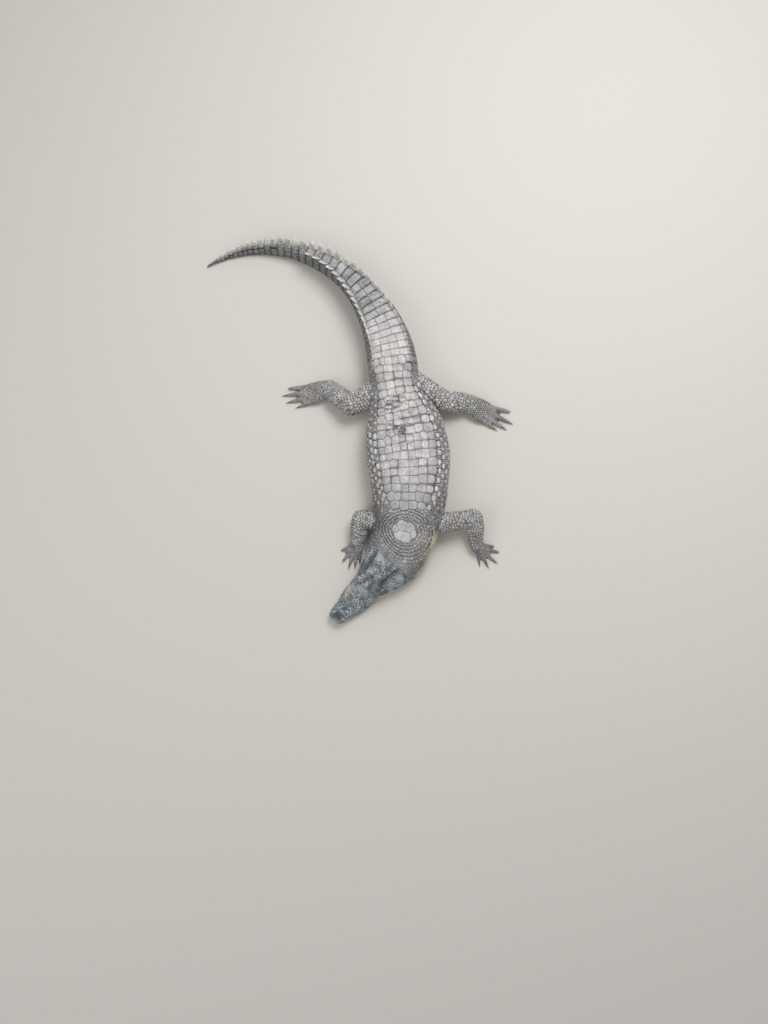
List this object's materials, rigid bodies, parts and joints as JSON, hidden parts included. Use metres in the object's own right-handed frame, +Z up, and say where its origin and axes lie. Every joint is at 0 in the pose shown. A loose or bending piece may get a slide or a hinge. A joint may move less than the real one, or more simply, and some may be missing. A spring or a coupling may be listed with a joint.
{
  "type": "crocodile",
  "caption": "Life-size crocodile at rest on its belly, head turned to its right, legs spread and tail swept round in a long curve with a blade crest.",
  "frame": {"origin": "on the floor, under the middle of the bounding box", "axes": "-Y is the way the animal faces, +X its left side, +Z up; the length of the box runs along Y"},
  "size_m": [1.1435, 1.4143, 0.1729],
  "materials": {
    "hide": "matt grey scaled hide with bony plates",
    "pale_hide": "matt pale hide of the jaw and belly",
    "eyeball": "wet gloss",
    "claw": "satin horn",
    "tooth": "satin enamel"
  },
  "bodies": {
    "root": {"head": "hide", "lower_jaw": "pale_hide", "eye_left": "eyeball", "eye_right": "eyeball", "neck": "hide", "trunk": "hide", "tail_base": "hide", "tail_middle": "hide", "tail_end": "hide", "tail_tip": "hide", "upper_arm_left": "hide", "forearm_left": "hide", "hand_left": "hide", "upper_arm_right": "hide", "forearm_right": "hide", "hand_right": "hide", "thigh_left": "hide", "shank_left": "hide", "foot_left": "hide", "thigh_right": "hide", "shank_right": "hide", "foot_right": "hide"}
  },
  "joints": []
}
